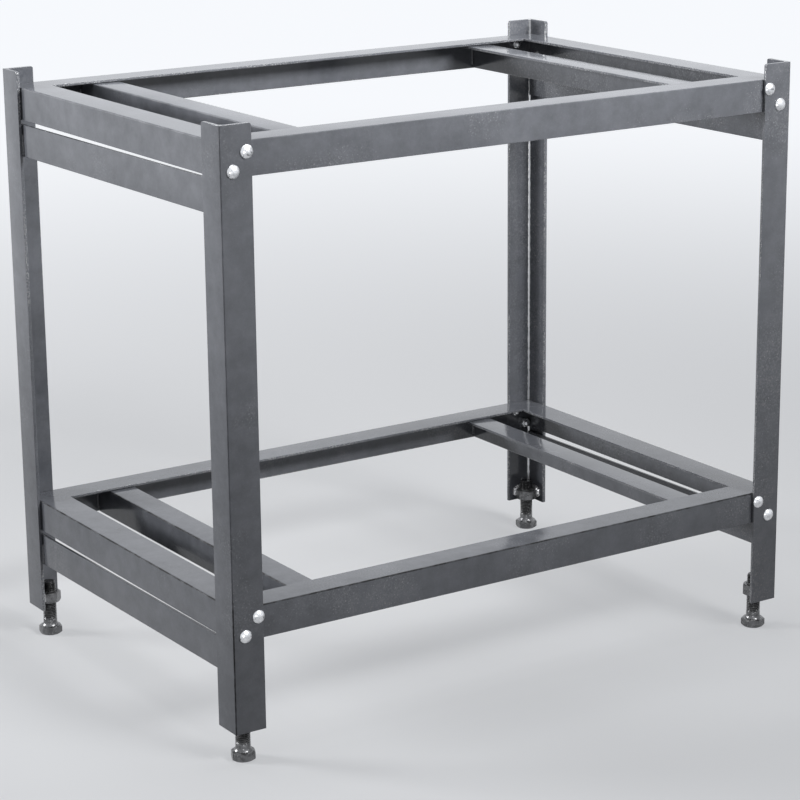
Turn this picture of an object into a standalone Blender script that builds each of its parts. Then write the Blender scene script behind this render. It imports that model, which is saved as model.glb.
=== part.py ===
"""Stand for a granite surface plate, made of angle steel.

Four legs stand on levelling bolts and hold two rectangular frames. The plate lies on the upper frame,
between the tops of the legs, and the lower frame braces the legs and takes a shelf.
Metres, +Z up, +X along the stand. The origin is on the floor, under the middle of the stand.
"""
import math

import bmesh
import bpy
from mathutils import Matrix, Vector

# The plate that the stand is made for, and its play inside the tops of the legs
PLATE_LENGTH = 0.900
PLATE_DEPTH = 0.600
PLATE_PLAY = 0.001

# Heights
FOOT_DROP = 0.044  # the legs' lower ends above the floor
LOWER_FRAME_RISE = 0.168  # the lower frame's top above the legs' lower ends
FRAME_SPACING = 0.600  # from the lower frame's top to the upper frame's top
STOP_HEIGHT = 0.022  # the legs' tops above the upper frame

# Legs: equal angle with its heel outwards
LEG_FLANGE = 0.045
LEG_WALL = 0.005
LEG_ROOT_RADIUS = 0.005
LEG_CORNER_RADIUS = 0.004  # ground round at the top of each toe

# Frame rails: equal angle, one flange upright on the outside and one level on top
RAIL_FLANGE = 0.045
RAIL_WALL = 0.004
RAIL_ROOT_RADIUS = 0.0025

# Cross members: equal angle, welded under the level flanges of the long rails
CROSS_FLANGE = 0.040
CROSS_WALL = 0.004
CROSS_ROOT_RADIUS = 0.003
CROSS_INSET = 0.115  # from the stand's end to the cross member's upright face

# Tie bars: flat bar on edge under each short rail, welded inside the two legs of that end
TIE_HEIGHT = 0.045
TIE_THICKNESS = 0.005
TIE_GAP_FRONT = 0.003  # below the short rail at its front end
TIE_GAP_BACK = 0.007  # and at its back end, so the bar slopes a little
TIE_EDGE_RADIUS = 0.001

# Rolled edges of all the angle steel
HEEL_RADIUS = 0.0008
TOE_RADIUS = 0.0018

# Cup-head bolts and hex nuts that hold the frames in the legs, two at each corner of each frame
BOLT_DIAMETER = 0.008
BOLT_HOLE_PLAY = 0.0005  # radial
BOLT_TOE_EDGE = 0.0075  # the upper bolt from the toe of the leg
BOLT_LOW_EDGE = 0.009  # the lower bolt from the lower edge of the rail
BOLT_OVERHANG = 0.004  # past the nut
HEAD_DIAMETER = 0.018
HEAD_HEIGHT = 0.0050
HEAD_RIM = 0.0010
NUT_ACROSS_FLATS = 0.013
NUT_HEIGHT = 0.0065
NUT_ROOM = 0.0012  # between the lower nut and the short rail

# Levelling bolts, head down, in hex nuts that are welded into the legs
FOOT_DIAMETER = 0.020
FOOT_HEAD_ACROSS_FLATS = 0.030
FOOT_HEAD_HEIGHT = 0.0125
FOOT_END_RISE = 0.015  # the bolt's end above its nut
FOOT_END_CHAMFER = 0.0015
FOOT_NUT_ACROSS_FLATS = 0.030
FOOT_NUT_HEIGHT = 0.016
FOOT_NUT_RISE = 0.005  # above the leg's lower end
FOOT_TURNS = {"front_left": 8, "front_right": 23, "back_right": 16, "back_left": 20}  # degrees

# Clearances
SEAT_GAP = 0.0003  # between pieces that touch or are welded together
THREAD_PLAY = 0.00015  # radial, between a bolt and its nut

# Facets of round pieces
SMALL_FACETS = 12
BOLT_FACETS = 16
FOOT_FACETS = 24
ARC_STEPS = 4

# Places worked out from the sizes above
HALF_LENGTH = PLATE_LENGTH / 2 + PLATE_PLAY + LEG_WALL
HALF_DEPTH = PLATE_DEPTH / 2 + PLATE_PLAY + LEG_WALL
LEG_BOTTOM = FOOT_DROP
LOWER_TOP = LEG_BOTTOM + LOWER_FRAME_RISE
UPPER_TOP = LOWER_TOP + FRAME_SPACING
LEG_TOP = UPPER_TOP + STOP_HEIGHT
FRAME_INSET = LEG_WALL + SEAT_GAP
RAIL_FACE = FRAME_INSET + RAIL_WALL
FRAME_TOPS = {"top": UPPER_TOP, "bottom": LOWER_TOP}
SIDE_TURNS = {"front": 0, "right": 90, "back": 180, "left": 270}
CORNERS = {"front_left": (-1, -1), "front_right": (1, -1), "back_right": (1, 1), "back_left": (-1, 1)}
CORNER_TURNS = {"front_left": 0, "front_right": 90, "back_right": 180, "back_left": 270}


def clear_scene():
    for old in list(bpy.data.objects):
        bpy.data.objects.remove(old, do_unlink=True)


def finish_material(name, colour, roughness, metallic):
    material = bpy.data.materials.new(name)
    material.use_nodes = True
    shader = material.node_tree.nodes["Principled BSDF"]
    shader.inputs["Base Color"].default_value = (*colour, 1.0)
    shader.inputs["Roughness"].default_value = roughness
    shader.inputs["Metallic"].default_value = metallic
    return material


def mesh_from(name, shape):
    """Turns a bmesh into a mesh with its faces pointing out, smooth but for its sharp edges."""
    bmesh.ops.recalc_face_normals(shape, faces=shape.faces)
    mesh = bpy.data.meshes.new(name)
    shape.to_mesh(mesh)
    shape.free()
    mesh.shade_smooth()
    mesh.set_sharp_from_angle(angle=math.radians(35))
    return mesh


def place(name, mesh, material, location, rotation=(0.0, 0.0, 0.0)):
    piece = bpy.data.objects.new(name, mesh)
    bpy.context.scene.collection.objects.link(piece)
    piece.location = location
    piece.rotation_euler = rotation
    if material and not mesh.materials:
        mesh.materials.append(material)
    return piece


def place_cutter(name, mesh, location=(0.0, 0.0, 0.0), rotation=(0.0, 0.0, 0.0)):
    cutter = place(name, mesh, None, location, rotation)
    cutter.hide_render = True
    cutter.display_type = "WIRE"
    return cutter


def cut_away(piece, cutter):
    cut = piece.modifiers.new(cutter.name, "BOOLEAN")
    cut.operation = "DIFFERENCE"
    cut.solver = "EXACT"
    cut.object = cutter


def arc(centre, radius, first_degrees, last_degrees, steps=ARC_STEPS):
    points = []
    for step in range(steps + 1):
        angle = math.radians(first_degrees + (last_degrees - first_degrees) * step / steps)
        points.append((centre[0] + radius * math.cos(angle), centre[1] + radius * math.sin(angle)))
    return points


def angle_section(flange, wall, root):
    """Outline of an equal angle: the heel at the corner of the two axes, a flange along each."""
    toe = flange - TOE_RADIUS
    shoulder = wall - TOE_RADIUS
    outline = arc((HEEL_RADIUS, HEEL_RADIUS), HEEL_RADIUS, 180, 270, 2)
    outline += [(flange, 0.0)]
    outline += arc((toe, shoulder), TOE_RADIUS, 0, 90, 3)
    outline += arc((wall + root, wall + root), root, 270, 180)
    outline += arc((shoulder, toe), TOE_RADIUS, 0, 90, 3)
    outline += [(0.0, flange)]
    return outline


def flat_section(thickness, height, edge):
    """Outline of a flat bar with rolled edges, from its outer face inwards and from its top down."""
    outline = arc((edge, edge), edge, 180, 270, 2)
    outline += arc((thickness - edge, edge), edge, 270, 360, 2)
    outline += arc((thickness - edge, height - edge), edge, 0, 90, 2)
    outline += arc((edge, height - edge), edge, 90, 180, 2)
    return outline


def extruded(outline, first, last, to_point):
    """Bmesh of an outline drawn out from first to last; to_point gives each corner's place."""
    shape = bmesh.new()
    start = [shape.verts.new(to_point(u, v, first)) for u, v in outline]
    end = [shape.verts.new(to_point(u, v, last)) for u, v in outline]
    count = len(outline)
    for here in range(count):
        after = (here + 1) % count
        shape.faces.new((start[here], start[after], end[after], end[here]))
    shape.faces.new(list(reversed(start)))
    shape.faces.new(end)
    return shape


def trim(shape, point, normal):
    """Cuts off what lies beyond a plane, on the side that its normal points to, and closes the cut."""
    everything = shape.verts[:] + shape.edges[:] + shape.faces[:]
    cut = bmesh.ops.bisect_plane(
        shape, geom=everything, plane_co=point, plane_no=normal, clear_outer=True, dist=1e-6
    )
    rim = [part for part in cut["geom_cut"] if isinstance(part, bmesh.types.BMEdge)]
    bmesh.ops.contextual_create(shape, geom=rim)


def bar_point(inward, down, along):
    """A bar's own axes: +X along it, its outer face at Y = 0, its top at Z = 0."""
    return Vector((along, inward, -down))


def rail_mesh(name, half_length):
    """A frame rail, mitred at both ends, with its outer corners ground off to clear the legs' roots."""
    section = angle_section(RAIL_FLANGE, RAIL_WALL, RAIL_ROOT_RADIUS)
    shape = extruded(section, -half_length, half_length, bar_point)
    mitre_start = half_length - SEAT_GAP / math.sqrt(2)
    clip_start = half_length - LEG_ROOT_RADIUS
    for end in (-1, 1):
        trim(shape, (end * mitre_start, 0, 0), (end, 1, 0))
        trim(shape, (end * clip_start, 0, 0), (end, -1, 0))
    return mesh_from(name, shape)


def straight_mesh(name, section, half_length):
    return mesh_from(name, extruded(section, -half_length, half_length, bar_point))


def round_ring(radius, height):
    return lambda angle: (radius, height)


def hex_radius(across_flats, angle):
    """Distance from a hexagon's middle to its edge; a corner lies at angle 0."""
    from_flat = math.fmod(angle, math.pi / 3) - math.pi / 6
    return across_flats / 2 / math.cos(from_flat)


def hex_ring(across_flats, height, chamfer_side=0):
    """A ring on a hexagon's flanks; on a chamfered end its corners are drawn back, down or up."""
    def point(angle):
        radius = hex_radius(across_flats, angle)
        drawn_back = (radius - hex_face_radius(across_flats)) * math.tan(math.radians(30))
        return radius, height - chamfer_side * drawn_back
    return point


def hex_face_radius(across_flats):
    """Radius of the round flat that a 30 degree chamfer leaves on a hexagon's end."""
    return across_flats * 0.47


def turned(name, rings, facets, hollow=False):
    """Mesh of rings joined in turn: hollow joins the last to the first, else both ends are closed."""
    shape = bmesh.new()
    angles = [2 * math.pi * facet / facets for facet in range(facets)]
    loops = []
    for ring in rings:
        loop = []
        for angle in angles:
            radius, height = ring(angle)
            loop.append(shape.verts.new((radius * math.cos(angle), radius * math.sin(angle), height)))
        loops.append(loop)
    pairs = list(zip(loops, loops[1:]))
    if hollow:
        pairs.append((loops[-1], loops[0]))
    else:
        shape.faces.new(list(reversed(loops[0])))
        shape.faces.new(loops[-1])
    for lower, upper in pairs:
        for here in range(facets):
            after = (here + 1) % facets
            shape.faces.new((lower[here], lower[after], upper[after], upper[here]))
    return mesh_from(name, shape)


def cup_bolt_mesh():
    """A bolt along +Z from the leg's outer face, with its domed head below."""
    dome_height = HEAD_HEIGHT - HEAD_RIM
    dome_radius = ((HEAD_DIAMETER / 2) ** 2 + dome_height**2) / (2 * dome_height)
    dome_middle = -SEAT_GAP - HEAD_HEIGHT + dome_radius
    rim_angle = math.asin(HEAD_DIAMETER / 2 / dome_radius)
    shank = BOLT_DIAMETER / 2
    end = RAIL_FACE + SEAT_GAP + NUT_HEIGHT + BOLT_OVERHANG
    end_chamfer = BOLT_DIAMETER / 10
    rings = []
    for share in (0.2, 0.5, 0.8, 1.0):
        angle = rim_angle * share
        rings.append(round_ring(dome_radius * math.sin(angle), dome_middle - dome_radius * math.cos(angle)))
    rings += [round_ring(HEAD_DIAMETER / 2, -SEAT_GAP), round_ring(shank, -SEAT_GAP)]
    rings += [round_ring(shank, end - end_chamfer), round_ring(shank - end_chamfer, end)]
    return turned("cup_bolt", rings, BOLT_FACETS)


def nut_mesh(name, across_flats, height, thread_diameter, facets):
    """A hex nut along +Z from its lower face, chamfered at both ends, with a plain bore."""
    bore = thread_diameter / 2 + THREAD_PLAY
    face = hex_face_radius(across_flats)
    rings = [round_ring(bore, 0.0), round_ring(face, 0.0), hex_ring(across_flats, 0.0, -1)]
    rings += [hex_ring(across_flats, height, 1), round_ring(face, height), round_ring(bore, height)]
    return turned(name, rings, facets, hollow=True)


def levelling_bolt_mesh():
    """A hex bolt that stands on its head, from the floor up."""
    face = hex_face_radius(FOOT_HEAD_ACROSS_FLATS)
    shank = FOOT_DIAMETER / 2
    end = FOOT_DROP + FOOT_NUT_RISE + FOOT_NUT_HEIGHT + FOOT_END_RISE
    rings = [round_ring(face, 0.0), hex_ring(FOOT_HEAD_ACROSS_FLATS, 0.0, -1)]
    rings += [hex_ring(FOOT_HEAD_ACROSS_FLATS, FOOT_HEAD_HEIGHT), round_ring(shank, FOOT_HEAD_HEIGHT)]
    rings += [round_ring(shank, end - FOOT_END_CHAMFER), round_ring(shank - FOOT_END_CHAMFER, end)]
    return turned("levelling_bolt", rings, FOOT_FACETS)


def bolt_places():
    """Each frame bolt's name, its place on the leg's outer face and the way that it points."""
    low_in = RAIL_FACE + NUT_ROOM + NUT_ACROSS_FLATS / math.sqrt(3)
    high_in = LEG_FLANGE - BOLT_TOE_EDGE
    high_down = RAIL_WALL + RAIL_ROOT_RADIUS + NUT_ACROSS_FLATS / 2
    low_down = RAIL_FLANGE - BOLT_LOW_EDGE
    spots = {"upper": (high_in, high_down), "lower": (low_in, low_down)}
    for level, top in FRAME_TOPS.items():
        for corner, (side, depth_side) in CORNERS.items():
            for spot, (inward, down) in spots.items():
                point = Vector((side * (HALF_LENGTH - inward), depth_side * HALF_DEPTH, top - down))
                yield f"{level}_{corner}_{spot}", point, -depth_side


def bolt_rotation(way):
    """Turns a piece made along +Z so that it points along +Y (way 1) or -Y (way -1)."""
    return (-way * math.pi / 2, 0.0, 0.0)


def bolt_hole_cutter():
    """One cutter with a round bar through each corner's leg and rail."""
    shape = bmesh.new()
    length = RAIL_FACE * 3
    for name, point, way in bolt_places():
        middle = point + Vector((0, way * RAIL_FACE / 2, 0))
        standing = Matrix.Translation(middle) @ Matrix.Rotation(math.pi / 2, 4, "X")
        radius = BOLT_DIAMETER / 2 + BOLT_HOLE_PLAY
        bmesh.ops.create_cone(
            shape, cap_ends=True, segments=BOLT_FACETS, radius1=radius, radius2=radius, depth=length,
            matrix=standing
        )
    return place_cutter("bolt_hole_cutter", mesh_from("bolt_hole_cutter", shape))


def leg_corner_cutter_mesh():
    """What is ground off at the top of the toe of a leg's two flanges."""
    past = LEG_CORNER_RADIUS
    inner = LEG_FLANGE - LEG_CORNER_RADIUS
    shoulder = LEG_TOP - LEG_CORNER_RADIUS
    outline = arc((inner, shoulder), LEG_CORNER_RADIUS, 90, 0)
    outline += [(LEG_FLANGE + past, shoulder), (LEG_FLANGE + past, LEG_TOP + past), (inner, LEG_TOP + past)]
    both = bmesh.new()
    for along_x in (True, False):
        def to_point(out, up, across):
            return Vector((out, across, up)) if along_x else Vector((across, out, up))
        prism = extruded(outline, -LEG_WALL, LEG_WALL * 2, to_point)
        bmesh.ops.recalc_face_normals(prism, faces=prism.faces)
        scratch = bpy.data.meshes.new("corner_prism")
        prism.to_mesh(scratch)
        prism.free()
        both.from_mesh(scratch)
        bpy.data.meshes.remove(scratch)
    return mesh_from("leg_corner_cutter", both)


def leg_spot(corner, inset=0.0):
    side, depth_side = CORNERS[corner]
    return side * (HALF_LENGTH - inset), depth_side * (HALF_DEPTH - inset)


def make_legs(paint, bolt_holes):
    section = angle_section(LEG_FLANGE, LEG_WALL, LEG_ROOT_RADIUS)
    mesh = mesh_from("leg", extruded(section, LEG_BOTTOM, LEG_TOP, lambda u, v, z: Vector((u, v, z))))
    corner_mesh = leg_corner_cutter_mesh()
    for corner, degrees in CORNER_TURNS.items():
        turn = (0.0, 0.0, math.radians(degrees))
        heel = (*leg_spot(corner), 0.0)
        leg = place(f"leg_{corner}", mesh, paint, heel, turn)
        cut_away(leg, place_cutter(f"corner_cutter_{corner}", corner_mesh, heel, turn))
        cut_away(leg, bolt_holes)


def side_place(side, inset, height):
    """Location and rotation of a bar on one side of the stand, with its outer face at the inset."""
    half = HALF_DEPTH if side in ("front", "back") else HALF_LENGTH
    turn = math.radians(SIDE_TURNS[side])
    outward = Matrix.Rotation(turn, 3, "Z") @ Vector((0.0, inset - half, height))
    return outward, (0.0, 0.0, turn)


def make_frames(paint, bolt_holes):
    long_rail = rail_mesh("long_rail", HALF_LENGTH - FRAME_INSET)
    short_rail = rail_mesh("short_rail", HALF_DEPTH - FRAME_INSET)
    cross_section = angle_section(CROSS_FLANGE, CROSS_WALL, CROSS_ROOT_RADIUS)
    cross_half = HALF_DEPTH - RAIL_FACE - RAIL_ROOT_RADIUS - SEAT_GAP
    cross = straight_mesh("cross_member", cross_section, cross_half)
    for level, top in FRAME_TOPS.items():
        for side in SIDE_TURNS:
            is_long = side in ("front", "back")
            mesh = long_rail if is_long else short_rail
            rail = place(f"{level}_rail_{side}", mesh, paint, *side_place(side, FRAME_INSET, top))
            if is_long:
                cut_away(rail, bolt_holes)
        for side in ("left", "right"):
            under_rails = top - RAIL_WALL - SEAT_GAP
            place(f"{level}_cross_{side}", cross, paint, *side_place(side, CROSS_INSET, under_rails))


def make_tie_bars(paint):
    section = flat_section(TIE_THICKNESS, TIE_HEIGHT, TIE_EDGE_RADIUS)
    half_length = HALF_DEPTH - LEG_WALL - LEG_ROOT_RADIUS - SEAT_GAP
    mesh = straight_mesh("tie_bar", section, half_length)
    slope = math.atan2(TIE_GAP_BACK - TIE_GAP_FRONT, 2 * half_length)
    for level, top in FRAME_TOPS.items():
        for side, tilt in (("left", -slope), ("right", slope)):
            under_rail = top - RAIL_FLANGE - (TIE_GAP_FRONT + TIE_GAP_BACK) / 2
            spot, turn = side_place(side, FRAME_INSET, under_rail)
            place(f"{level}_tie_bar_{side}", mesh, paint, spot, (0.0, tilt, turn[2]))


def make_fasteners(zinc):
    bolt = cup_bolt_mesh()
    nut = nut_mesh("nut", NUT_ACROSS_FLATS, NUT_HEIGHT, BOLT_DIAMETER, SMALL_FACETS)
    for name, point, way in bolt_places():
        seat = point + Vector((0, way * (RAIL_FACE + SEAT_GAP), 0))
        place(f"bolt_{name}", bolt, zinc, point, bolt_rotation(way))
        place(f"nut_{name}", nut, zinc, seat, bolt_rotation(way))


def make_feet(steel):
    """A nut in each leg's root, a corner of it to each flange, and the bolt that turns in it."""
    bolt = levelling_bolt_mesh()
    nut = nut_mesh("foot_nut", FOOT_NUT_ACROSS_FLATS, FOOT_NUT_HEIGHT, FOOT_DIAMETER, FOOT_FACETS)
    nut_turn = 15
    nut_reach = FOOT_NUT_ACROSS_FLATS / math.sqrt(3) * math.cos(math.radians(nut_turn))
    inset = LEG_WALL + SEAT_GAP + nut_reach
    for corner, degrees in CORNER_TURNS.items():
        x, y = leg_spot(corner, inset)
        nut_rotation = (0.0, 0.0, math.radians(degrees + nut_turn))
        bolt_turn = (0.0, 0.0, math.radians(FOOT_TURNS[corner]))
        place(f"foot_nut_{corner}", nut, steel, (x, y, LEG_BOTTOM + FOOT_NUT_RISE), nut_rotation)
        place(f"levelling_bolt_{corner}", bolt, steel, (x, y, 0.0), bolt_turn)


clear_scene()
grey_paint = finish_material("grey_paint", (0.150, 0.157, 0.175), 0.38, 0.0)
bright_zinc = finish_material("bright_zinc", (0.780, 0.790, 0.800), 0.28, 1.0)
dark_steel = finish_material("dark_steel", (0.140, 0.138, 0.135), 0.42, 1.0)
hole_cutter = bolt_hole_cutter()
make_legs(grey_paint, hole_cutter)
make_frames(grey_paint, hole_cutter)
make_tie_bars(grey_paint)
make_fasteners(bright_zinc)
make_feet(dark_steel)
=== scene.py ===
"""Looks of a stand for a granite surface plate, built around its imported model.

Metres, +Z up, +X along the stand, the origin on the floor under the middle of the stand.
"""
import math

import bmesh
import bpy
from mathutils import Matrix, Quaternion, Vector, noise


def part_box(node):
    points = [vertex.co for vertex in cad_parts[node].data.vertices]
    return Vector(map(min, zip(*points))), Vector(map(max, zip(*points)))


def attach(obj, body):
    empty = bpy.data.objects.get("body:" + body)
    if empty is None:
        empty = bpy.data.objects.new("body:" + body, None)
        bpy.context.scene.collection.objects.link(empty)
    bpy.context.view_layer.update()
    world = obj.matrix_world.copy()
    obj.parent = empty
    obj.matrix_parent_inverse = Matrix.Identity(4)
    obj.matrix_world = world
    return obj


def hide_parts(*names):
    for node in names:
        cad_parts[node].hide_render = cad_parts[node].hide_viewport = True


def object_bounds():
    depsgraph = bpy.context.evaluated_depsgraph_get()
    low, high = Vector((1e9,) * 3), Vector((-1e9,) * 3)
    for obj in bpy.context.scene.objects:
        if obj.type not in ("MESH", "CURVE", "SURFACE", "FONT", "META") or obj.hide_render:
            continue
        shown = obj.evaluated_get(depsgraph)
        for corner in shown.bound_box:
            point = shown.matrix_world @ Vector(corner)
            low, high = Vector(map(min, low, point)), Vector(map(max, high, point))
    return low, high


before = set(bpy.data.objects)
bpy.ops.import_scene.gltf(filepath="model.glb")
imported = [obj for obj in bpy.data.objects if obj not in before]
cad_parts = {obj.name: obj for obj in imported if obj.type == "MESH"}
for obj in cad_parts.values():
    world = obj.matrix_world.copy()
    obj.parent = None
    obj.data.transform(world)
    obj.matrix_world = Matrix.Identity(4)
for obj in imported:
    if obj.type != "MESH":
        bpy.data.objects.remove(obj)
cad_low, cad_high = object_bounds()


# Legs. Four lengths of hot-rolled equal angle, saw cut square, the top of each toe ground round.
# They stand heel outwards at the corners. All the steelwork is sprayed with one coat of semi-gloss
# dark grey enamel: each frame once it is welded, and the legs before the frames are bolted in.
CORNERS = {"front_left": (-1, -1), "front_right": (1, -1), "back_right": (1, 1), "back_left": (-1, 1)}
LEG_FLANGE = 0.045
LEG_WALL = 0.005
LEG_ROOT = 0.005
LEG_TOE_ROUND = 0.004
LEG_TOE_CUT = 15  # degrees from one flat of the grinding to the next
HEEL_RADIUS = 0.0016
HEEL_STEPS = 4
TOE_RADIUS = 0.0018
TOE_STEPS = 5
ROOT_STEPS = 8
CUT_EDGE = 0.0004  # how far a sawn or rolled arris is dulled by brushing and paint
ENAMEL_DARK = (0.066, 0.070, 0.080, 1.0)
ENAMEL_LIGHT = (0.104, 0.109, 0.123, 1.0)
ENAMEL_DUST = (0.24, 0.245, 0.255, 1.0)
# painted shade: the near-black of the broken dark line along the heels, full low down
ENAMEL_HEEL_SHADE = (0.009, 0.0095, 0.0105, 1.0)
ENAMEL_WORN = (0.30, 0.305, 0.315, 1.0)
ENAMEL_ROUGHNESS = (0.10, 0.18)
HEEL_ROUGHNESS = (0.65, 0.45)
HEEL_SHADE_FADES = (0.214, 0.260)  # heights between which the dark line along the heels dies out
BARE_STEEL = (0.56, 0.565, 0.575, 1.0)
BARE_LINE = 0.0012  # half the width of the line in each leg's root that the spray hardly reaches
BARE_FADE = 0.0008  # over which the paint thickens beside that line
BARE_RAGGED = 0.0006  # how far the line's edges wander


def new_finish(name):
    """A new material, its node tree, its shader, and the place of each point in the stand's metres."""
    finish = bpy.data.materials.new(name)
    finish.use_nodes = True
    tree = finish.node_tree
    place = tree.nodes.new("ShaderNodeTexCoord").outputs["Object"]
    return finish, tree, tree.nodes["Principled BSDF"], place


def add_noise(tree, place, scale, detail, roughness=0.5):
    """A cloud pattern; scale is about how many clouds there are to a metre."""
    clouds = tree.nodes.new("ShaderNodeTexNoise")
    clouds.inputs["Scale"].default_value = scale
    clouds.inputs["Detail"].default_value = detail
    clouds.inputs["Roughness"].default_value = roughness
    tree.links.new(place, clouds.inputs["Vector"])
    return clouds.outputs["Fac"]


def add_range(tree, value, between, to=(0.0, 1.0), smooth=False):
    """Spreads the part of a pattern between two values over a new range, and holds it there."""
    spread = tree.nodes.new("ShaderNodeMapRange")
    spread.interpolation_type = "SMOOTHSTEP" if smooth else "LINEAR"
    for socket, number in zip(("From Min", "From Max", "To Min", "To Max"), between + to):
        spread.inputs[socket].default_value = number
    tree.links.new(value, spread.inputs["Value"])
    return spread.outputs["Result"]


def add_mix(tree, share, first, second):
    """Mixes two colours, each a plain colour or another node's output, by a pattern."""
    blend = tree.nodes.new("ShaderNodeMix")
    blend.data_type = "RGBA"
    tree.links.new(share, blend.inputs["Factor"])
    for socket, colour in (("A", first), ("B", second)):
        entry = next(s for s in blend.inputs if s.name == socket and s.type == "RGBA")
        if isinstance(colour, tuple):
            entry.default_value = colour
        else:
            tree.links.new(colour, entry)
    return next(s for s in blend.outputs if s.type == "RGBA")


def add_math(tree, kind, first, second):
    """Adds or multiplies two patterns, or takes the larger."""
    joined = tree.nodes.new("ShaderNodeMath")
    joined.operation = kind
    tree.links.new(first, joined.inputs[0])
    tree.links.new(second, joined.inputs[1])
    return joined.outputs["Value"]


def add_vector(tree, kind, first, second=None):
    """Joins a place with a plain one, or takes its length or its distance from the middle planes."""
    joined = tree.nodes.new("ShaderNodeVectorMath")
    joined.operation = kind
    tree.links.new(first, joined.inputs[0])
    if second is not None:
        joined.inputs[1].default_value = second
    return joined.outputs["Value" if kind == "LENGTH" else "Vector"]


def add_distance(tree, place, x, y):
    """How far a point lies from the nearest of four upright lines, one at each corner of the stand."""
    offset = add_vector(tree, "SUBTRACT", add_vector(tree, "ABSOLUTE", place), (x, y, 0.0))
    return add_vector(tree, "LENGTH", add_vector(tree, "MULTIPLY", offset, (1.0, 1.0, 0.0)))


def add_bump(tree, height, depth, strength=1.0, over=None):
    """Raises the surface by a pattern, depth metres high, on top of an earlier bump."""
    bump = tree.nodes.new("ShaderNodeBump")
    bump.inputs["Distance"].default_value = depth
    bump.inputs["Strength"].default_value = strength
    tree.links.new(height, bump.inputs["Height"])
    if over is not None:
        tree.links.new(over, bump.inputs["Normal"])
    return bump.outputs["Normal"]


def bare_root(tree, place):
    """1 along the inner root of every leg, where hardly any spray gets in, and 0 on the rest."""
    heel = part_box("leg_back_right")[1]
    in_from_heel = LEG_WALL + LEG_ROOT * (1 - math.sqrt(0.5))
    distance = add_distance(tree, place, heel.x - in_from_heel, heel.y - in_from_heel)
    uneven = add_noise(tree, place, 130, 3)
    wander = add_range(tree, uneven, (0.3, 0.7), to=(-BARE_RAGGED, BARE_RAGGED))
    ragged = add_math(tree, "ADD", distance, wander)
    return add_range(tree, ragged, (BARE_LINE, BARE_LINE + BARE_FADE), to=(1.0, 0.0))


def grey_enamel(name, edge=None):
    """Semi-gloss spray paint: cloudy where it went on thin, a little orange peel, some settled dust.

    On the heel of an angle it is matt, and a broken dark line is painted on as shade, full low down and
    faint higher up.
    On the toes it is rubbed pale here and there.
    """
    finish, tree, shader, place = new_finish(name)
    along = tree.nodes.new("ShaderNodeSeparateXYZ")
    tree.links.new(place, along.inputs["Vector"])

    drifts = add_noise(tree, place, 6, 3)
    smudges = add_noise(tree, place, 45, 6, 0.62)
    cloudy = add_range(tree, add_math(tree, "ADD", drifts, smudges), (0.72, 1.28))
    colour = add_mix(tree, cloudy, ENAMEL_DARK, ENAMEL_LIGHT)

    settling = add_range(tree, along.outputs["X"], (-0.1, 0.46), to=(0.0, 0.13))
    settled = add_math(tree, "ADD", add_noise(tree, place, 7, 3), settling)
    dusty = add_range(tree, settled, (0.55, 0.70), to=(0.06, 0.75))
    grain = add_noise(tree, place, 420, 3)
    powder = add_math(tree, "MULTIPLY", add_range(tree, grain, (0.45, 0.75), to=(0.0, 0.5)), dusty)
    colour = add_mix(tree, powder, colour, ENAMEL_DUST)

    motes = tree.nodes.new("ShaderNodeTexVoronoi")
    motes.inputs["Scale"].default_value = 210
    tree.links.new(place, motes.inputs["Vector"])
    specks = add_range(tree, motes.outputs["Distance"], (0.12, 0.24), to=(1.0, 0.0))
    thinned_out = add_range(tree, motes.outputs["Color"], (0.48, 0.70))
    specks = add_math(tree, "MULTIPLY", specks, thinned_out)
    colour = add_mix(tree, add_math(tree, "MULTIPLY", specks, dusty), colour, ENAMEL_DUST)

    paint_roughness = ENAMEL_ROUGHNESS
    # On the heels: a broken near-black line painted on as shade, full up to about the lower frame's top
    # and faint above it; the paint there is matt.
    if edge == "heel":
        low_down = add_range(tree, along.outputs["Z"], HEEL_SHADE_FADES, to=(1.0, 0.15))
        broken = add_range(tree, smudges, (0.42, 0.58), to=(1.0, 0.45))
        colour = add_mix(tree, add_math(tree, "MULTIPLY", broken, low_down), colour, ENAMEL_HEEL_SHADE)
        paint_roughness = HEEL_ROUGHNESS
        shader.inputs["Specular IOR Level"].default_value = 0.2
    if edge == "toe":
        rubbed = add_range(tree, add_noise(tree, place, 9, 2), (0.44, 0.58), to=(0.1, 0.75))
        flecks = add_range(tree, add_noise(tree, place, 560, 2), (0.50, 0.60))
        colour = add_mix(tree, add_math(tree, "MULTIPLY", rubbed, flecks), colour, ENAMEL_WORN)

    bare = bare_root(tree, place)
    tree.links.new(add_mix(tree, bare, colour, BARE_STEEL), shader.inputs["Base Color"])
    tree.links.new(bare, shader.inputs["Metallic"])
    dull_paint = add_range(tree, smudges, (0.35, 0.70), to=paint_roughness)
    dull_steel = add_range(tree, bare, (0.0, 1.0), to=(0.0, 0.2))
    tree.links.new(add_math(tree, "ADD", dull_paint, dull_steel), shader.inputs["Roughness"])
    waves = add_bump(tree, add_noise(tree, place, 11, 1), depth=0.0004)
    peel = add_bump(tree, add_noise(tree, place, 650, 2), depth=0.00001, strength=0.6, over=waves)
    grit = add_bump(tree, grain, depth=0.000018, strength=0.6, over=peel)
    tree.links.new(grit, shader.inputs["Normal"])
    return finish


def arc(centre, radius, first_degrees, last_degrees, steps):
    points = []
    for step in range(steps + 1):
        angle = math.radians(first_degrees + (last_degrees - first_degrees) * step / steps)
        points.append((centre[0] + radius * math.cos(angle), centre[1] + radius * math.sin(angle)))
    return points


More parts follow.
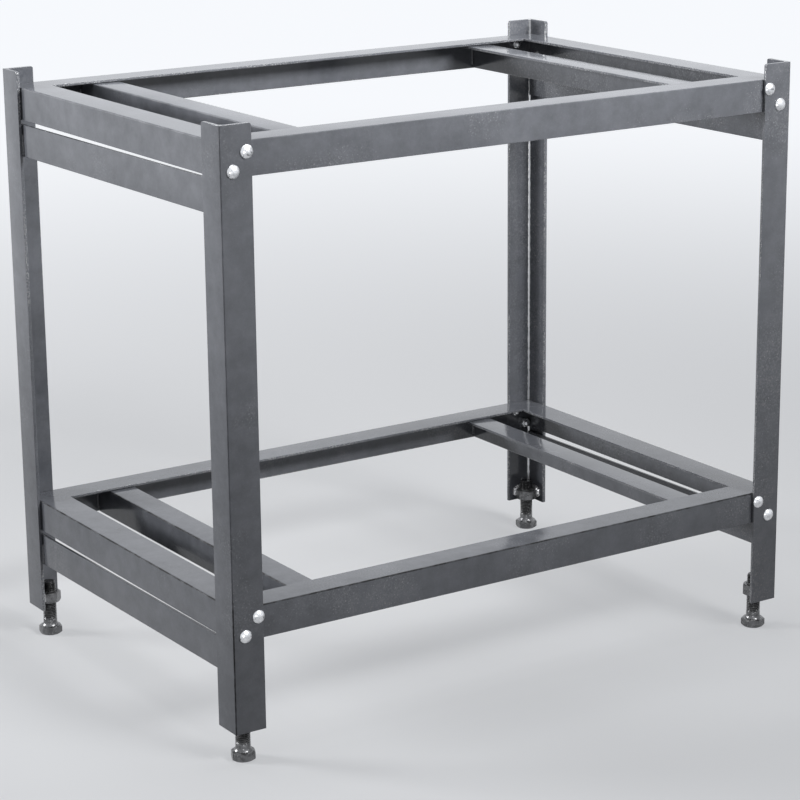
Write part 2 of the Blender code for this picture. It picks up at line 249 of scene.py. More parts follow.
def angle_outline(flange, wall, root):
    """Section of an equal angle: the heel at the corner of the two axes, a flange along each."""
    toe = flange - TOE_RADIUS
    shoulder = wall - TOE_RADIUS
    outline = arc((HEEL_RADIUS, HEEL_RADIUS), HEEL_RADIUS, 180, 270, HEEL_STEPS)
    outline += [(flange, 0.0)]
    outline += arc((toe, shoulder), TOE_RADIUS, 0, 90, TOE_STEPS)
    outline += arc((wall + root, wall + root), root, 270, 180, ROOT_STEPS)
    outline += arc((shoulder, toe), TOE_RADIUS, 0, 90, TOE_STEPS)
    outline += [(0.0, flange)]
    return outline


def angle_finishes():
    """Which finish each face of an angle's section has: 0 plain enamel, 1 on the heel, 2 on a toe."""
    heel = [1] * HEEL_STEPS
    toe = [2] * (TOE_STEPS + 1)
    inside = [0] * (ROOT_STEPS + 2)
    return heel + [0] + toe + inside + toe + [0]


def drawn_bar(outline, finishes, first, last, to_point):
    """Bmesh of a section drawn out from first to last; to_point gives each corner's place."""
    shape = bmesh.new()
    start = [shape.verts.new(to_point(u, v, first)) for u, v in outline]
    end = [shape.verts.new(to_point(u, v, last)) for u, v in outline]
    for here in range(len(outline)):
        after = (here + 1) % len(outline)
        face = shape.faces.new((start[here], start[after], end[after], end[here]))
        face.material_index = finishes[here]
    shape.faces.new(list(reversed(start)))
    shape.faces.new(end)
    return shape


def saw_off(shape, point, normal):
    """Cuts away what lies beyond a plane, on the side that its normal points to, and closes the cut."""
    everything = shape.verts[:] + shape.edges[:] + shape.faces[:]
    cut = bmesh.ops.bisect_plane(
        shape, geom=everything, plane_co=point, plane_no=normal, clear_outer=True, dist=1e-6
    )
    rim = [part for part in cut["geom_cut"] if isinstance(part, bmesh.types.BMEdge)]
    bmesh.ops.contextual_create(shape, geom=rim)


def on_side(low, high, way):
    """The end of a range that faces a side of the stand: the high end to the right and the back."""
    return high if way > 0 else low


def make_piece(name, shape, finish, body, nodes, smooth_below=40, edge_finishes=()):
    """Turns a bmesh into a named piece that rides on a body, in the place of the nodes it stands for."""
    bmesh.ops.recalc_face_normals(shape, faces=shape.faces)
    mesh = bpy.data.meshes.new(name)
    shape.to_mesh(mesh)
    shape.free()
    mesh.shade_smooth()
    mesh.set_sharp_from_angle(angle=math.radians(smooth_below))
    for each in (finish, *edge_finishes):
        mesh.materials.append(each)
    piece = bpy.data.objects.new(name, mesh)
    bpy.context.scene.collection.objects.link(piece)
    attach(piece, body)
    if nodes:
        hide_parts(*nodes)
    return piece


def dull_edges(piece):
    """Rounds the sharp arrises, so that they catch the light as brushed and painted steel does."""
    bevel = piece.modifiers.new("dulled_edges", "BEVEL")
    bevel.width = CUT_EDGE
    bevel.segments = 2
    bevel.limit_method = "ANGLE"
    bevel.angle_limit = math.radians(48)
    bevel.use_clamp_overlap = False
    bevel.harden_normals = True
    joined = piece.modifiers.new("joined_points", "WELD")
    joined.merge_threshold = 0.00001


def paint_angle(name, shape, nodes):
    """A piece of angle steel in grey enamel, with matt paint and a painted dark line of shade on its
    heel, and worn paint on its toes.
    """
    dull_edges(make_piece(name, shape, enamel, "stand", nodes, edge_finishes=edge_enamels))


enamel = grey_enamel("grey_enamel")
edge_enamels = (grey_enamel("heel_enamel_painted_shade", "heel"), grey_enamel("worn_enamel", "toe"))
for corner, (side, depth_side) in CORNERS.items():
    low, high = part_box(f"leg_{corner}")
    heel_x = on_side(low.x, high.x, side)
    heel_y = on_side(low.y, high.y, depth_side)

    def leg_point(along_x, along_y, height):
        return Vector((heel_x - side * along_x, heel_y - depth_side * along_y, height))

    outline = angle_outline(LEG_FLANGE, LEG_WALL, LEG_ROOT)
    leg = drawn_bar(outline, angle_finishes(), low.z, high.z, leg_point)
    round_in = LEG_FLANGE - LEG_TOE_ROUND
    for degrees in range(LEG_TOE_CUT, 90, LEG_TOE_CUT):
        out = math.cos(math.radians(degrees))
        up = math.sin(math.radians(degrees))
        height = high.z - LEG_TOE_ROUND + LEG_TOE_ROUND * up
        reach = round_in + LEG_TOE_ROUND * out
        saw_off(leg, leg_point(reach, 0, height), (-side * out, 0, up))
        saw_off(leg, leg_point(0, reach, height), (0, -depth_side * out, up))
    paint_angle(f"painted_leg_{corner}", leg, [f"leg_{corner}"])


# Foot nuts. A large hex nut sits in the root of each leg, just above its lower end, and is held by
# two short beads of weld, one against each flange. The nuts are plain grey steel under a film of
# oil, and the beads are bare and bright.
FOOT_NUT_FLATS = 0.030
FOOT_NUT_FACETS = 72
FOOT_NUT_TURN = 15  # degrees, so that a corner of the nut meets each flange
FOOT_NUT_LEAD_IN = 0.0008
FOOT_BORE = 0.01015
CORNER_TURNS = {"front_left": 0, "front_right": 90, "back_right": 180, "back_left": 270}
HEX_FACE = 0.475  # radius of a nut's or a bolt head's flat face, as a share of the width across flats
HEX_CHAMFER = 30  # degrees
NUT_BEAD = 0.0040
NUT_BEAD_RIPPLE = 0.0038
STEEL_GREY = (0.105, 0.106, 0.109, 1.0)
STEEL_LIGHT = (0.19, 0.191, 0.196, 1.0)
STEEL_BRIGHT = (0.50, 0.50, 0.505, 1.0)
# partly oily grime, partly painted shade: the dark of the threads' grooves and of the bolt ends above the
# nuts
STEEL_GRIME_AND_SHADE = (0.008, 0.008, 0.0085, 1.0)
GRIME_AND_SHADE_STARTS = (0.021, 0.028)  # heights between which the bolts' threads turn grimy
GRIME_AND_SHADE_DEPTH = (0.0086, 0.0097)  # radii of a thread's root and of its clean crest
GRIME_AND_SHADE_LIMIT = (0.01005, 0.01012)  # between the bolts' radius and the nuts' bores
WELD_METAL = (0.58, 0.58, 0.585, 1.0)
WELD_SCALE = (0.10, 0.10, 0.105, 1.0)


def foot_steel():
    """Bolt steel under a film of oil: grey, faintly blotched, darkened in the threads' grooves and on the
    bolt ends above the nuts by grime and painted shade.
    """
    finish, tree, shader, place = new_finish("foot_steel")
    blotches = add_noise(tree, place, 110, 4, 0.55)
    rubbed = add_noise(tree, place, 460, 2)
    colour = add_mix(tree, add_range(tree, blotches, (0.36, 0.64)), STEEL_GREY, STEEL_LIGHT)
    colour = add_mix(tree, add_range(tree, rubbed, (0.60, 0.74), to=(0.0, 0.6)), colour, STEEL_BRIGHT)

    low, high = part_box("foot_nut_back_right")
    radius = add_distance(tree, place, (low.x + high.x) / 2, (low.y + high.y) / 2)
    along = tree.nodes.new("ShaderNodeSeparateXYZ")
    tree.links.new(place, along.inputs["Vector"])
    # Dark in the threads' grooves and over each bolt's end above its nut: partly oily grime, partly
    # painted shade.
    thread = add_range(tree, along.outputs["Z"], GRIME_AND_SHADE_STARTS)
    in_grooves = add_range(tree, radius, GRIME_AND_SHADE_DEPTH, to=(0.95, 0.05))
    above_nut = add_range(tree, along.outputs["Z"], (high.z, high.z + 0.003))
    grime_and_shade = add_math(tree, "MAXIMUM", add_math(tree, "MULTIPLY", thread, in_grooves), above_nut)
    on_bolt = add_range(tree, radius, GRIME_AND_SHADE_LIMIT, to=(1.0, 0.0))
    grime_and_shade = add_math(tree, "MULTIPLY", grime_and_shade, on_bolt)
    tree.links.new(add_mix(tree, grime_and_shade, colour, STEEL_GRIME_AND_SHADE), shader.inputs["Base Color"])
    tree.links.new(add_range(tree, grime_and_shade, (0.0, 1.0), to=(0.8, 0.2)), shader.inputs["Metallic"])
    tree.links.new(add_range(tree, blotches, (0.3, 0.7), to=(0.22, 0.34)), shader.inputs["Roughness"])
    tree.links.new(add_bump(tree, rubbed, depth=0.00004, strength=0.6), shader.inputs["Normal"])
    return finish


def bare_weld():
    """Weld metal as it set: bright, with patches of dark scale between the ripples."""
    finish, tree, shader, place = new_finish("bare_weld")
    scale = add_noise(tree, place, 300, 3, 0.6)
    colour = add_mix(tree, add_range(tree, scale, (0.50, 0.62)), WELD_METAL, WELD_SCALE)
    tree.links.new(colour, shader.inputs["Base Color"])
    shader.inputs["Metallic"].default_value = 0.9
    tree.links.new(add_range(tree, scale, (0.3, 0.7), to=(0.24, 0.45)), shader.inputs["Roughness"])
    tree.links.new(add_bump(tree, scale, depth=0.0002, strength=0.6), shader.inputs["Normal"])
    return finish


def hex_reach(across_flats, angle):
    """Distance from a hexagon's middle to its edge; a corner lies at angle 0."""
    from_flat = math.fmod(angle, math.pi / 3) - math.pi / 6
    return across_flats / 2 / math.cos(from_flat)


def turned_shape(rings, facets, hollow):
    """Bmesh of rings joined in turn; each ring gives a radius and a height at every angle."""
    shape = bmesh.new()
    loops = []
    for ring in rings:
        loop = []
        for facet in range(facets):
            angle = 2 * math.pi * facet / facets
            radius, height = ring(angle)
            loop.append(shape.verts.new((radius * math.cos(angle), radius * math.sin(angle), height)))
        loops.append(loop)
    pairs = list(zip(loops, loops[1:]))
    if hollow:
        pairs.append((loops[-1], loops[0]))
    else:
        shape.faces.new(list(reversed(loops[0])))
        shape.faces.new(loops[-1])
    for lower, upper in pairs:
        for here in range(facets):
            after = (here + 1) % facets
            shape.faces.new((lower[here], lower[after], upper[after], upper[here]))
    return shape


def round_ring(radius, height):
    return lambda angle: (radius, height)


def flank_ring(across_flats, height, chamfer_side):
    """A ring on a hexagon's flanks, drawn back at its corners by the chamfer of that end."""
    def point(angle):
        reach = hex_reach(across_flats, angle)
        drawn_back = (reach - across_flats * HEX_FACE) * math.tan(math.radians(HEX_CHAMFER))
        return reach, height - chamfer_side * max(drawn_back, 0.0)
    return point


def hex_nut(across_flats, height, bore, facets, lead_in):
    """A hex nut from its lower face up, chamfered outside and countersunk at both ends of its bore."""
    face = across_flats * HEX_FACE
    mouth = bore + lead_in
    rings = [round_ring(bore, lead_in), round_ring(mouth, 0.0), round_ring(face, 0.0)]
    rings += [flank_ring(across_flats, 0.0, -1), flank_ring(across_flats, height, 1)]
    rings += [round_ring(face, height), round_ring(mouth, height), round_ring(bore, height - lead_in)]
    return turned_shape(rings, facets, hollow=True)


def lay_bead(shape, path, radius, ripple, seed):
    """Adds a weld bead along a path: a lumpy rope whose even swellings are the steps of the weld pool."""
    sides = 12
    steps_each = 6
    swelling = 0.14
    lumpiness = 0.22
    lumps_to_a_metre = 420
    blunt_end = 0.06
    spots = []
    for first, last in zip(path, path[1:]):
        count = max(2, math.ceil((last - first).length / ripple * steps_each))
        spots += [first.lerp(last, step / count) for step in range(count)]
    spots.append(path[-1])
    travelled = 0.0
    loops = []
    for number, spot in enumerate(spots):
        ahead = spots[min(number + 1, len(spots) - 1)]
        behind = spots[max(number - 1, 0)]
        travelled += (spot - behind).length
        way = (ahead - behind).normalized()
        across = way.orthogonal().normalized()
        beside = way.cross(across)
        pool = 1 - swelling + swelling * abs(math.sin(math.pi * travelled / ripple))
        from_end = min(number, len(spots) - 1 - number) / steps_each
        rounding = math.sqrt(max(blunt_end, 1 - (1 - min(from_end, 1.0)) ** 2))
        loop = []
        for turn in range(sides):
            angle = 2 * math.pi * turn / sides
            out = across * math.cos(angle) + beside * math.sin(angle)
            lump = noise.noise((spot + out * radius) * lumps_to_a_metre + Vector((seed, seed * 0.7, 0.0)))
            loop.append(shape.verts.new(spot + out * radius * rounding * (pool + lumpiness * lump)))
        loops.append(loop)
    for lower, upper in zip(loops, loops[1:]):
        for turn in range(sides):
            after = (turn + 1) % sides
            shape.faces.new((lower[turn], lower[after], upper[after], upper[turn]))
    shape.faces.new(list(reversed(loops[0])))
    shape.faces.new(loops[-1])


oiled_steel = foot_steel()
weld_metal = bare_weld()
for seed, (corner, (side, depth_side)) in enumerate(CORNERS.items()):
    node = f"foot_nut_{corner}"
    low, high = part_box(node)
    middle = (low + high) / 2
    nut = hex_nut(FOOT_NUT_FLATS, high.z - low.z, FOOT_BORE, FOOT_NUT_FACETS, FOOT_NUT_LEAD_IN)
    turn = math.radians(CORNER_TURNS[corner] + FOOT_NUT_TURN)
    nut.transform(Matrix.Translation((middle.x, middle.y, low.z)) @ Matrix.Rotation(turn, 4, "Z"))
    make_piece(f"welded_nut_{corner}", nut, oiled_steel, "stand", [node], smooth_below=25)

    leg_low, leg_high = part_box(f"leg_{corner}")
    heel_x = on_side(leg_low.x, leg_high.x, side)
    heel_y = on_side(leg_low.y, leg_high.y, depth_side)
    reach = abs(heel_x - middle.x)
    beads = bmesh.new()
    for along_x in (True, False):
        def bead_point(along, off, height):
            if along_x:
                return Vector((heel_x - side * along, heel_y - depth_side * off, height))
            return Vector((heel_x - side * off, heel_y - depth_side * along, height))

        # each bead runs up beside the nut and then in over its top
        path = [
            bead_point(reach + 0.0125, LEG_WALL + 0.0022, low.z + 0.003),
            bead_point(reach + 0.0110, LEG_WALL + 0.0022, high.z - 0.002),
            bead_point(reach + 0.0040, LEG_WALL + 0.0014, high.z + 0.0008),
            bead_point(reach - 0.0070, LEG_WALL + 0.0010, high.z + 0.0004),
        ]
        lay_bead(beads, path, NUT_BEAD, NUT_BEAD_RIPPLE, seed * 3.1 + along_x)
    make_piece(f"nut_weld_{corner}", beads, weld_metal, "stand", [], smooth_below=80)


# Levelling bolts. Hex bolts that stand on their heads and screw up and down in the foot nuts.
# The same oiled steel, with a coarse rolled thread; the forged neck flares out into the head.
FOOT_RADIUS = 0.010
FOOT_PITCH = 0.0025
FOOT_HEAD_FLATS = 0.030
FOOT_HEAD_HEIGHT = 0.0125
FOOT_HEAD_LIP = 0.0004  # from the top of a flank to the head's upper face
FOOT_WORN_EDGE = 0.0003  # height of the edge that is worn round by standing on it
FOOT_WORN_FACE = 0.985  # what the wear leaves of the face's radius
FOOT_FLARE = 0.0022
FOOT_FLARE_HEIGHT = 0.0052
FOOT_NECK = 0.004  # plain length above the flare
FOOT_POINT = 0.0018  # how far the end is chamfered
FOOT_FACETS = 72
FOOT_TURNS = {"front_left": 8, "front_right": 23, "back_right": 16, "back_left": 20}  # degrees
THREAD_DEPTH = 0.6134  # of the pitch
THREAD_CREST = 0.08  # what the rounded crest takes of the way from crest to root
THREAD_FLANK = 0.75  # and what the flank takes
THREAD_ROWS = 10  # rings to each turn of a thread
FOOT_RUN_OUT = 12  # rings over which the thread fades out into the neck


def thread_radius(crest, pitch, height, angle):
    """Radius of a 60 degree screw thread, its crest and root rounded as rolling leaves them."""
    phase = (height / pitch - angle / (2 * math.pi)) % 1.0
    from_crest = abs(phase - 0.5) * 2
    flank = min(max((from_crest - THREAD_CREST) / THREAD_FLANK, 0.0), 1.0)
    return crest - THREAD_DEPTH * pitch * flank * flank * (3 - 2 * flank)


def thread_ring(crest, pitch, height, share, limit):
    """A ring on a thread that fades out as share falls from 1 to 0, turned down to a limiting radius."""
    def point(angle):
        cut = crest - thread_radius(crest, pitch, height, angle)
        return min(crest - cut * share, limit), height
    return point


def thread_rings(crest, pitch, start, end, run_out, point):
    """Rings of a thread, from where it fades out into the shank to the bolt's chamfered end."""
    rows = math.ceil(round((end - start) / pitch * THREAD_ROWS, 3))
    rings = []
    for row in range(rows + 1):
        height = start + (end - start) * row / rows
        limit = min(crest, crest - point + (end - height))
        rings.append(thread_ring(crest, pitch, height, min(row / run_out, 1.0), limit))
    return rings


for corner in CORNERS:
    node = f"levelling_bolt_{corner}"
    low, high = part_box(node)
    middle = (low + high) / 2
    face = FOOT_HEAD_FLATS * HEX_FACE
    rings = [round_ring(face * FOOT_WORN_FACE, 0.0), round_ring(face, FOOT_WORN_EDGE)]
    rings += [flank_ring(FOOT_HEAD_FLATS, FOOT_WORN_EDGE, -1)]
    rings += [flank_ring(FOOT_HEAD_FLATS, FOOT_HEAD_HEIGHT - FOOT_HEAD_LIP, 1)]
    rings += [round_ring(face, FOOT_HEAD_HEIGHT)]
    for share in (0.0, 0.08, 0.2, 0.35, 0.55, 0.78, 1.0):
        flare = FOOT_FLARE * (1 - share) ** 2
        rings.append(round_ring(FOOT_RADIUS + flare, FOOT_HEAD_HEIGHT + FOOT_FLARE_HEIGHT * share))
    thread_start = FOOT_HEAD_HEIGHT + FOOT_FLARE_HEIGHT + FOOT_NECK
    rings += thread_rings(FOOT_RADIUS, FOOT_PITCH, thread_start, high.z - low.z, FOOT_RUN_OUT, FOOT_POINT)
    bolt = turned_shape(rings, FOOT_FACETS, hollow=False)
    turn = Matrix.Rotation(math.radians(FOOT_TURNS[corner]), 4, "Z")
    bolt.transform(Matrix.Translation((middle.x, middle.y, low.z)) @ turn)
    name = f"threaded_foot_{corner}"
    make_piece(name, bolt, oiled_steel, f"foot_{corner}", [node], smooth_below=42)


# Frames. Each is four lengths of equal angle, mitred, welded and ground flush into one rectangle,
# with a level flange on top and an upright flange outside. Its outer corners are ground off to
# clear the legs' roots.
RAIL_FLANGE = 0.045
RAIL_WALL = 0.004
RAIL_ROOT = 0.0025
SIDES = ("front", "right", "back", "left")

for level in ("bottom", "top"):
    front_low, front_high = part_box(f"{level}_rail_front")
    half_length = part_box(f"{level}_rail_right")[1].x
    half_depth = -front_low.y
    frame_top = front_high.z
    shape = bmesh.new()
    loops = []
    for corner_x, corner_y in CORNERS.values():
        loop = []
        for inward, down in angle_outline(RAIL_FLANGE, RAIL_WALL, RAIL_ROOT):
            x = corner_x * (half_length - inward)
            y = corner_y * (half_depth - inward)
            loop.append(shape.verts.new((x, y, frame_top - down)))
        loops.append(loop)
    for number, loop in enumerate(loops):
        following = loops[(number + 1) % len(loops)]
        for here, finish_number in enumerate(angle_finishes()):
            after = (here + 1) % len(loop)
            face = shape.faces.new((loop[here], loop[after], following[after], following[here]))
            face.material_index = finish_number
    for corner_x, corner_y in CORNERS.values():
        clip = (corner_x * (half_length - LEG_ROOT), corner_y * half_depth, 0)
        saw_off(shape, clip, (corner_x, corner_y, 0))
    paint_angle(f"welded_frame_{level}", shape, [f"{level}_rail_{side}" for side in SIDES])


# Cross members. Two lengths of lighter equal angle in each frame, welded at their ends under the
# long rails' level flanges, so that their tops lie a little lower. Painted with the frame.
CROSS_FLANGE = 0.040
CROSS_WALL = 0.004
CROSS_ROOT = 0.003
CROSS_END_GAP = 0.0003
CROSS_BEAD = 0.0022
CROSS_BEAD_RIPPLE = 0.0030
CROSS_BEAD_OFF = 0.0008  # from the faces of the upright flange to the middle of each bead
CROSS_BEAD_TOP = 0.010  # from the cross member's top to the start of a bead
CROSS_BEAD_END = 0.004  # from the end of a bead to the flange's toe

for level in ("bottom", "top"):
    for seed, (side, way) in enumerate((("left", -1), ("right", 1))):
        node = f"{level}_cross_{side}"
        low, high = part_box(node)
        heel_x = on_side(low.x, high.x, way)

        def cross_point(inward, down, along):
            return Vector((heel_x - way * inward, along, high.z - down))

        outline = angle_outline(CROSS_FLANGE, CROSS_WALL, CROSS_ROOT)
        shape = drawn_bar(outline, angle_finishes(), low.y, high.y, cross_point)
        paint_angle(f"painted_{node}", shape, [node])

        beads = bmesh.new()
        for end, end_y in ((-1, low.y), (1, high.y)):
            rail_y = end_y + end * (RAIL_ROOT + CROSS_END_GAP)
            for off in (-CROSS_BEAD_OFF, CROSS_WALL + CROSS_BEAD_OFF):
                first = cross_point(off, CROSS_BEAD_TOP, rail_y)
                last = cross_point(off, CROSS_FLANGE - CROSS_BEAD_END, rail_y)
                lay_bead(beads, [first, last], CROSS_BEAD, CROSS_BEAD_RIPPLE, seed + end + off * 900)
        name = f"cross_weld_{level}_{side}"
        make_piece(name, beads, enamel, "stand", [], smooth_below=80)


# Tie bars. Flat bar on edge just under each short rail, set a little out of level, that ties the
# two legs of one end together. Each end is welded to its leg by an upright bead along the leg's
# toe, and painted over.
TIE_HEIGHT = 0.045
TIE_THICKNESS = 0.005
TIE_EDGE = 0.001
TIE_EDGE_STEPS = 4
TIE_BEAD = 0.0027
TIE_BEAD_RIPPLE = 0.0032
TIE_BEAD_OFF = 0.0002  # from the bar's face, and from the leg's toe, to the middle of a bead
TIE_BEAD_TOP = 0.014  # from the bar's top to the start of a bead
TIE_BEAD_END = 0.001  # from the end of a bead to the bar's lower edge

for level in ("bottom", "top"):
    for seed, (side, way) in enumerate((("left", -1), ("right", 1))):
        node = f"{level}_tie_bar_{side}"
        low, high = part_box(node)
        outer_x = on_side(low.x, high.x, way)
        fall = (high.z - low.z - TIE_HEIGHT) / (high.y - low.y)

        def tie_point(inward, down, along):
            top = high.z - fall * (along - low.y)
            return Vector((outer_x - way * inward, along, top - down))

        far = TIE_THICKNESS - TIE_EDGE
        foot = TIE_HEIGHT - TIE_EDGE
        outline = arc((TIE_EDGE, TIE_EDGE), TIE_EDGE, 180, 270, TIE_EDGE_STEPS)
        outline += arc((far, TIE_EDGE), TIE_EDGE, 270, 360, TIE_EDGE_STEPS)
        outline += arc((far, foot), TIE_EDGE, 0, 90, TIE_EDGE_STEPS)
        outline += arc((TIE_EDGE, foot), TIE_EDGE, 90, 180, TIE_EDGE_STEPS)
        shape = drawn_bar(outline, [0] * len(outline), low.y, high.y, tie_point)
        dull_edges(make_piece(f"painted_{node}", shape, enamel, "stand", [node]))

        beads = bmesh.new()
        for leg_corner, toe in ((f"front_{side}", 1), (f"back_{side}", -1)):
            leg_low, leg_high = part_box(f"leg_{leg_corner}")
            seam_y = on_side(leg_low.y, leg_high.y, toe) + toe * TIE_BEAD_OFF
            first = tie_point(TIE_BEAD_OFF, TIE_BEAD_TOP, seam_y)
            last = tie_point(TIE_BEAD_OFF, TIE_HEIGHT - TIE_BEAD_END, seam_y)
            lay_bead(beads, [first, last], TIE_BEAD, TIE_BEAD_RIPPLE, seed * 2 + toe)
        name = f"tie_weld_{level}_{side}"
        make_piece(name, beads, enamel, "stand", [], smooth_below=80)


# Frame bolts and nuts. Cup-head bolts go in from outside, two on a slant at each corner of each
# frame, and a hex nut holds each inside the rail. Bright zinc plate, slightly clouded, with a fine
# rolled thread.
BOLT_RADIUS = 0.004
BOLT_PITCH = 0.00125
BOLT_THREAD = 0.0045  # its length, from where it fades out to the bolt's end
BOLT_RUN_OUT = 4  # rings
BOLT_POINT = 0.0009  # how far the end is chamfered
BOLT_FACETS = 48
BOLT_TURNS = {"upper": 20, "lower": 75}  # degrees, as they happened to be tightened
BOLT_TURN_ON = 37  # degrees more at each next corner
HEAD_RADIUS = 0.009
HEAD_HEIGHT = 0.0050
HEAD_RIM = 0.0010
HEAD_SHOULDER = 0.0003  # where the dome runs out into the rim
HEAD_EDGE = 0.0002
SEAT_GAP = 0.0003
NUT_FLATS = 0.013
NUT_HEIGHT = 0.0065
NUT_BORE = 0.00415
NUT_LEAD_IN = 0.0005
ZINC_CLEAN = (0.84, 0.845, 0.855, 1.0)
ZINC_CLOUDED = (0.62, 0.63, 0.645, 1.0)
ZINC_STAIN = (0.22, 0.225, 0.235, 1.0)


def bright_zinc_plate():
    """Bright zinc: nearly white, faintly clouded, with a few dark stains where the plate is thin."""
    finish, tree, shader, place = new_finish("bright_zinc_plate")
    clouds = add_noise(tree, place, 240, 4, 0.6)
    stains = add_noise(tree, place, 230, 2)
    colour = add_mix(tree, add_range(tree, clouds, (0.35, 0.65)), ZINC_CLEAN, ZINC_CLOUDED)
    colour = add_mix(tree, add_range(tree, stains, (0.60, 0.65), to=(0.0, 0.85)), colour, ZINC_STAIN)
    tree.links.new(colour, shader.inputs["Base Color"])
    shader.inputs["Metallic"].default_value = 1.0
    tree.links.new(add_range(tree, clouds, (0.3, 0.7), to=(0.20, 0.34)), shader.inputs["Roughness"])
    tree.links.new(add_bump(tree, clouds, depth=0.00004, strength=0.5), shader.inputs["Normal"])
    return finish


def cup_bolt(length):
    """A cup-head bolt, head down: the leg's face is at height 0, and the head sits just clear of it."""
    dome_height = HEAD_HEIGHT - HEAD_RIM
    dome_radius = (HEAD_RADIUS**2 + dome_height**2) / (2 * dome_height)
    rim_angle = math.asin(HEAD_RADIUS / dome_radius)
    rings = []
    for share in (0.04, 0.15, 0.3, 0.45, 0.6, 0.75, 0.88, 0.97):
        angle = rim_angle * share
        height = dome_radius - HEAD_HEIGHT - SEAT_GAP - dome_radius * math.cos(angle)
        rings.append(round_ring(dome_radius * math.sin(angle), height))
    rings += [round_ring(HEAD_RADIUS, -HEAD_RIM - SEAT_GAP + HEAD_SHOULDER)]
    rings += [round_ring(HEAD_RADIUS, -SEAT_GAP - HEAD_EDGE)]
    rings += [round_ring(HEAD_RADIUS - HEAD_EDGE, -SEAT_GAP), round_ring(BOLT_RADIUS, -SEAT_GAP)]
    end = length - HEAD_HEIGHT - SEAT_GAP
    rings += thread_rings(BOLT_RADIUS, BOLT_PITCH, end - BOLT_THREAD, end, BOLT_RUN_OUT, BOLT_POINT)
    return turned_shape(rings, BOLT_FACETS, hollow=False)


zinc = bright_zinc_plate()
for level in ("bottom", "top"):
    for number, (corner, (side, depth_side)) in enumerate(CORNERS.items()):
        for spot in ("upper", "lower"):
            name = f"{level}_{corner}_{spot}"
            low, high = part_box(f"bolt_{name}")
            middle = (low + high) / 2
            leg_face = on_side(low.y, high.y, depth_side) - depth_side * (HEAD_HEIGHT + SEAT_GAP)
            lying = Matrix.Rotation(math.pi / 2 * depth_side, 4, "X")
            turn = Matrix.Rotation(math.radians(BOLT_TURN_ON * number + BOLT_TURNS[spot]), 4, "Z")
            bolt = cup_bolt(high.y - low.y)
            bolt.transform(Matrix.Translation((middle.x, leg_face, middle.z)) @ lying @ turn)
            nodes = [f"bolt_{name}"]
            make_piece(f"cup_bolt_{name}", bolt, zinc, "stand", nodes, smooth_below=50)

            low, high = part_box(f"nut_{name}")
            seat_y = on_side(low.y, high.y, depth_side)
            nut = hex_nut(NUT_FLATS, NUT_HEIGHT, NUT_BORE, BOLT_FACETS, NUT_LEAD_IN)
            nut.transform(Matrix.Translation((middle.x, seat_y, middle.z)) @ lying)
            nodes = [f"nut_{name}"]
            make_piece(f"hex_nut_{name}", nut, zinc, "stand", nodes, smooth_below=25)


# Floor and light. A wide pale studio floor that runs out into a white surround; its glow is painted dim
# around the stand as shade
# and pales farther out. Soft lamps: one far back on the left, one high in front, a small one low in front
# for the feet, and a weak one over the stand.
FLOOR_SIZE = 60.0
FLOOR_SQUARES = 8
FLOOR_DROP = 0.0002  # keeps the floor just clear of the feet
FLOOR_COLOUR = (0.28, 0.283, 0.288, 1.0)
# The floor's glow is painted shade near the stand: dim close to it, pale towards the surround.
FLOOR_SHADE_FADES = (-1.0, 5.2)  # metres from the stand's middle over which the floor pales to the surround
FLOOR_GLOW = (0.32, 0.97)
SURROUND = (0.93, 0.95, 0.985, 1.0)
SURROUND_LIGHT = 0.10


def seen_directly(tree):
    """1 for what the camera sees straight, in a reflection or through glass, 0 for scattered light."""
    path = tree.nodes.new("ShaderNodeLightPath")
    seen = add_math(tree, "MAXIMUM", path.outputs["Is Camera Ray"], path.outputs["Is Glossy Ray"])
    return add_math(tree, "MAXIMUM", seen, path.outputs["Is Transmission Ray"])


def pale_floor():
    """Matt pale floor covering with a glow, seen straight and in reflections, painted dim near the stand
    as shade and paler the farther it is from it.
    """
    finish, tree, shader, place = new_finish("pale_floor")
    tree.nodes.remove(shader)
    matt = tree.nodes.new("ShaderNodeBsdfDiffuse")
    matt.inputs["Color"].default_value = FLOOR_COLOUR
    glow = tree.nodes.new("ShaderNodeEmission")
    glow.inputs["Color"].default_value = SURROUND
    distance = add_vector(tree, "LENGTH", place)
    # Painted shade: the glow is dimmest near the stand and rises to the surround's brightness far away.
    glow_shaded_near_stand = add_range(tree, distance, FLOOR_SHADE_FADES, to=FLOOR_GLOW, smooth=True)
    tree.links.new(add_math(tree, "MULTIPLY", seen_directly(tree), glow_shaded_near_stand), glow.inputs["Strength"])
    both = tree.nodes.new("ShaderNodeAddShader")
    tree.links.new(matt.outputs["BSDF"], both.inputs[0])
    tree.links.new(glow.outputs["Emission"], both.inputs[1])
    tree.links.new(both.outputs["Shader"], tree.nodes["Material Output"].inputs["Surface"])
    return finish


floor_shape = bmesh.new()
bmesh.ops.create_grid(
    floor_shape, x_segments=FLOOR_SQUARES, y_segments=FLOOR_SQUARES, size=FLOOR_SIZE / 2
)
floor_mesh = bpy.data.meshes.new("studio_floor")
floor_shape.to_mesh(floor_mesh)
floor_shape.free()
floor_mesh.materials.append(pale_floor())
floor = bpy.data.objects.new("studio_floor", floor_mesh)
bpy.context.scene.collection.objects.link(floor)
floor.location.z = cad_low.z - FLOOR_DROP

world = bpy.data.worlds.new("white_studio")
bpy.context.scene.world = world
world.use_nodes = True
sky_tree = world.node_tree
sky = sky_tree.nodes["Background"]
sky.inputs["Color"].default_value = SURROUND
sky_strength = add_range(sky_tree, seen_directly(sky_tree), (0.0, 1.0), to=(SURROUND_LIGHT, 1.0))
sky_tree.links.new(sky_strength, sky.inputs["Strength"])


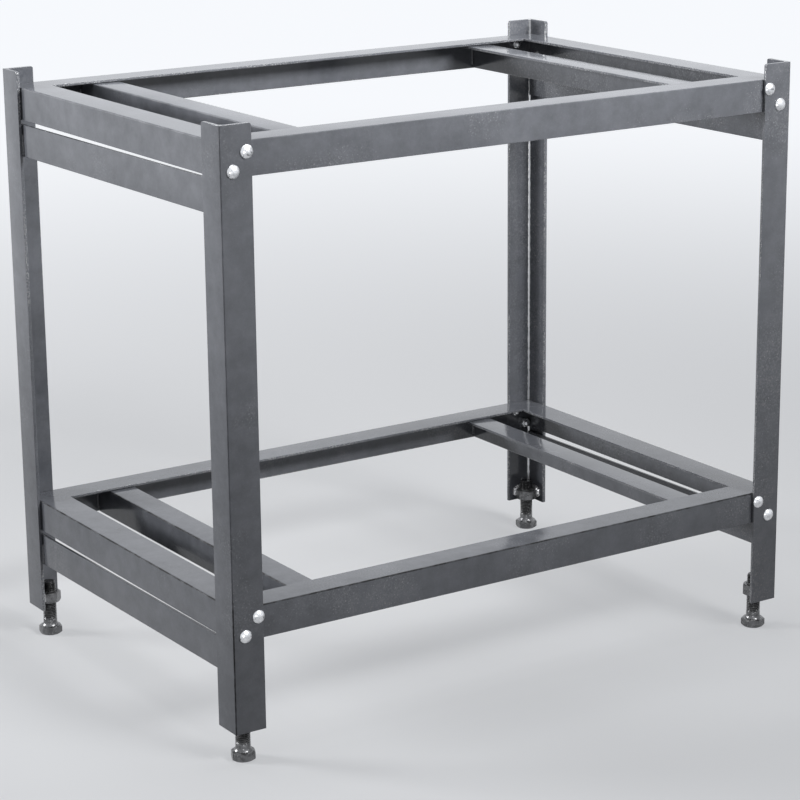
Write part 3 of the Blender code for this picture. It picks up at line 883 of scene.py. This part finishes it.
def soft_lamp(name, place, aim, size, watts, spread):
    """A rectangular lamp that points from its place to its aim; spread is in degrees."""
    lamp = bpy.data.lights.new(name, "AREA")
    lamp.shape = "RECTANGLE"
    lamp.size, lamp.size_y = size
    lamp.energy = watts
    lamp.spread = math.radians(spread)
    fitting = bpy.data.objects.new(name, lamp)
    bpy.context.scene.collection.objects.link(fitting)
    fitting.location = place
    fitting.rotation_mode = "QUATERNION"
    fitting.rotation_quaternion = (Vector(aim) - Vector(place)).to_track_quat("-Z", "Y")
    fitting.visible_camera = False


soft_lamp("lamp_back_left", (-3.4, 2.6, 1.55), (-0.3, -0.5, 1.2), size=(1.3, 1.1), watts=33.0, spread=50)
soft_lamp("lamp_front", (0.75, -2.2, 2.2), (0.2, -0.3, 1.25), size=(1.4, 0.8), watts=17.0, spread=54)
soft_lamp("lamp_low", (-1.35, -2.45, 0.34), (0.0, 0.0, 0.25), size=(0.16, 0.12), watts=1.6, spread=90)
soft_lamp("lamp_overhead", (0.0, 0.0, 1.25), (0.0, 0.0, 0.0), size=(1.3, 0.9), watts=7.5, spread=150)


# Camera. In front of the stand and to its left, a little above the height of a plate on it, with a
# long lens, as such stands are usually pictured.
CAMERA_PLACE = (-1.9637, -3.0021, 1.3394)
CAMERA_YAW = 0.5795  # radians to the right of +Y
CAMERA_PITCH = 0.2691  # radians below the horizon
CAMERA_ROLL = 0.0103
CAMERA_SENSOR = 36.0  # mm
CAMERA_LENS = 116.1  # mm
FARTHEST = 100.0

lens = bpy.data.cameras.new("camera")
lens.sensor_width = CAMERA_SENSOR
lens.lens = CAMERA_LENS
lens.clip_end = FARTHEST
camera = bpy.data.objects.new("camera", lens)
bpy.context.scene.collection.objects.link(camera)
camera.location = CAMERA_PLACE
level_way = Vector((math.sin(CAMERA_YAW), math.cos(CAMERA_YAW), 0.0))
looking = level_way * math.cos(CAMERA_PITCH) - Vector((0, 0, math.sin(CAMERA_PITCH)))
camera.rotation_mode = "QUATERNION"
camera.rotation_quaternion = looking.to_track_quat("-Z", "Y") @ Quaternion((0, 0, 1), -CAMERA_ROLL)
bpy.context.scene.camera = camera
bpy.context.scene.view_settings.view_transform = "Standard"
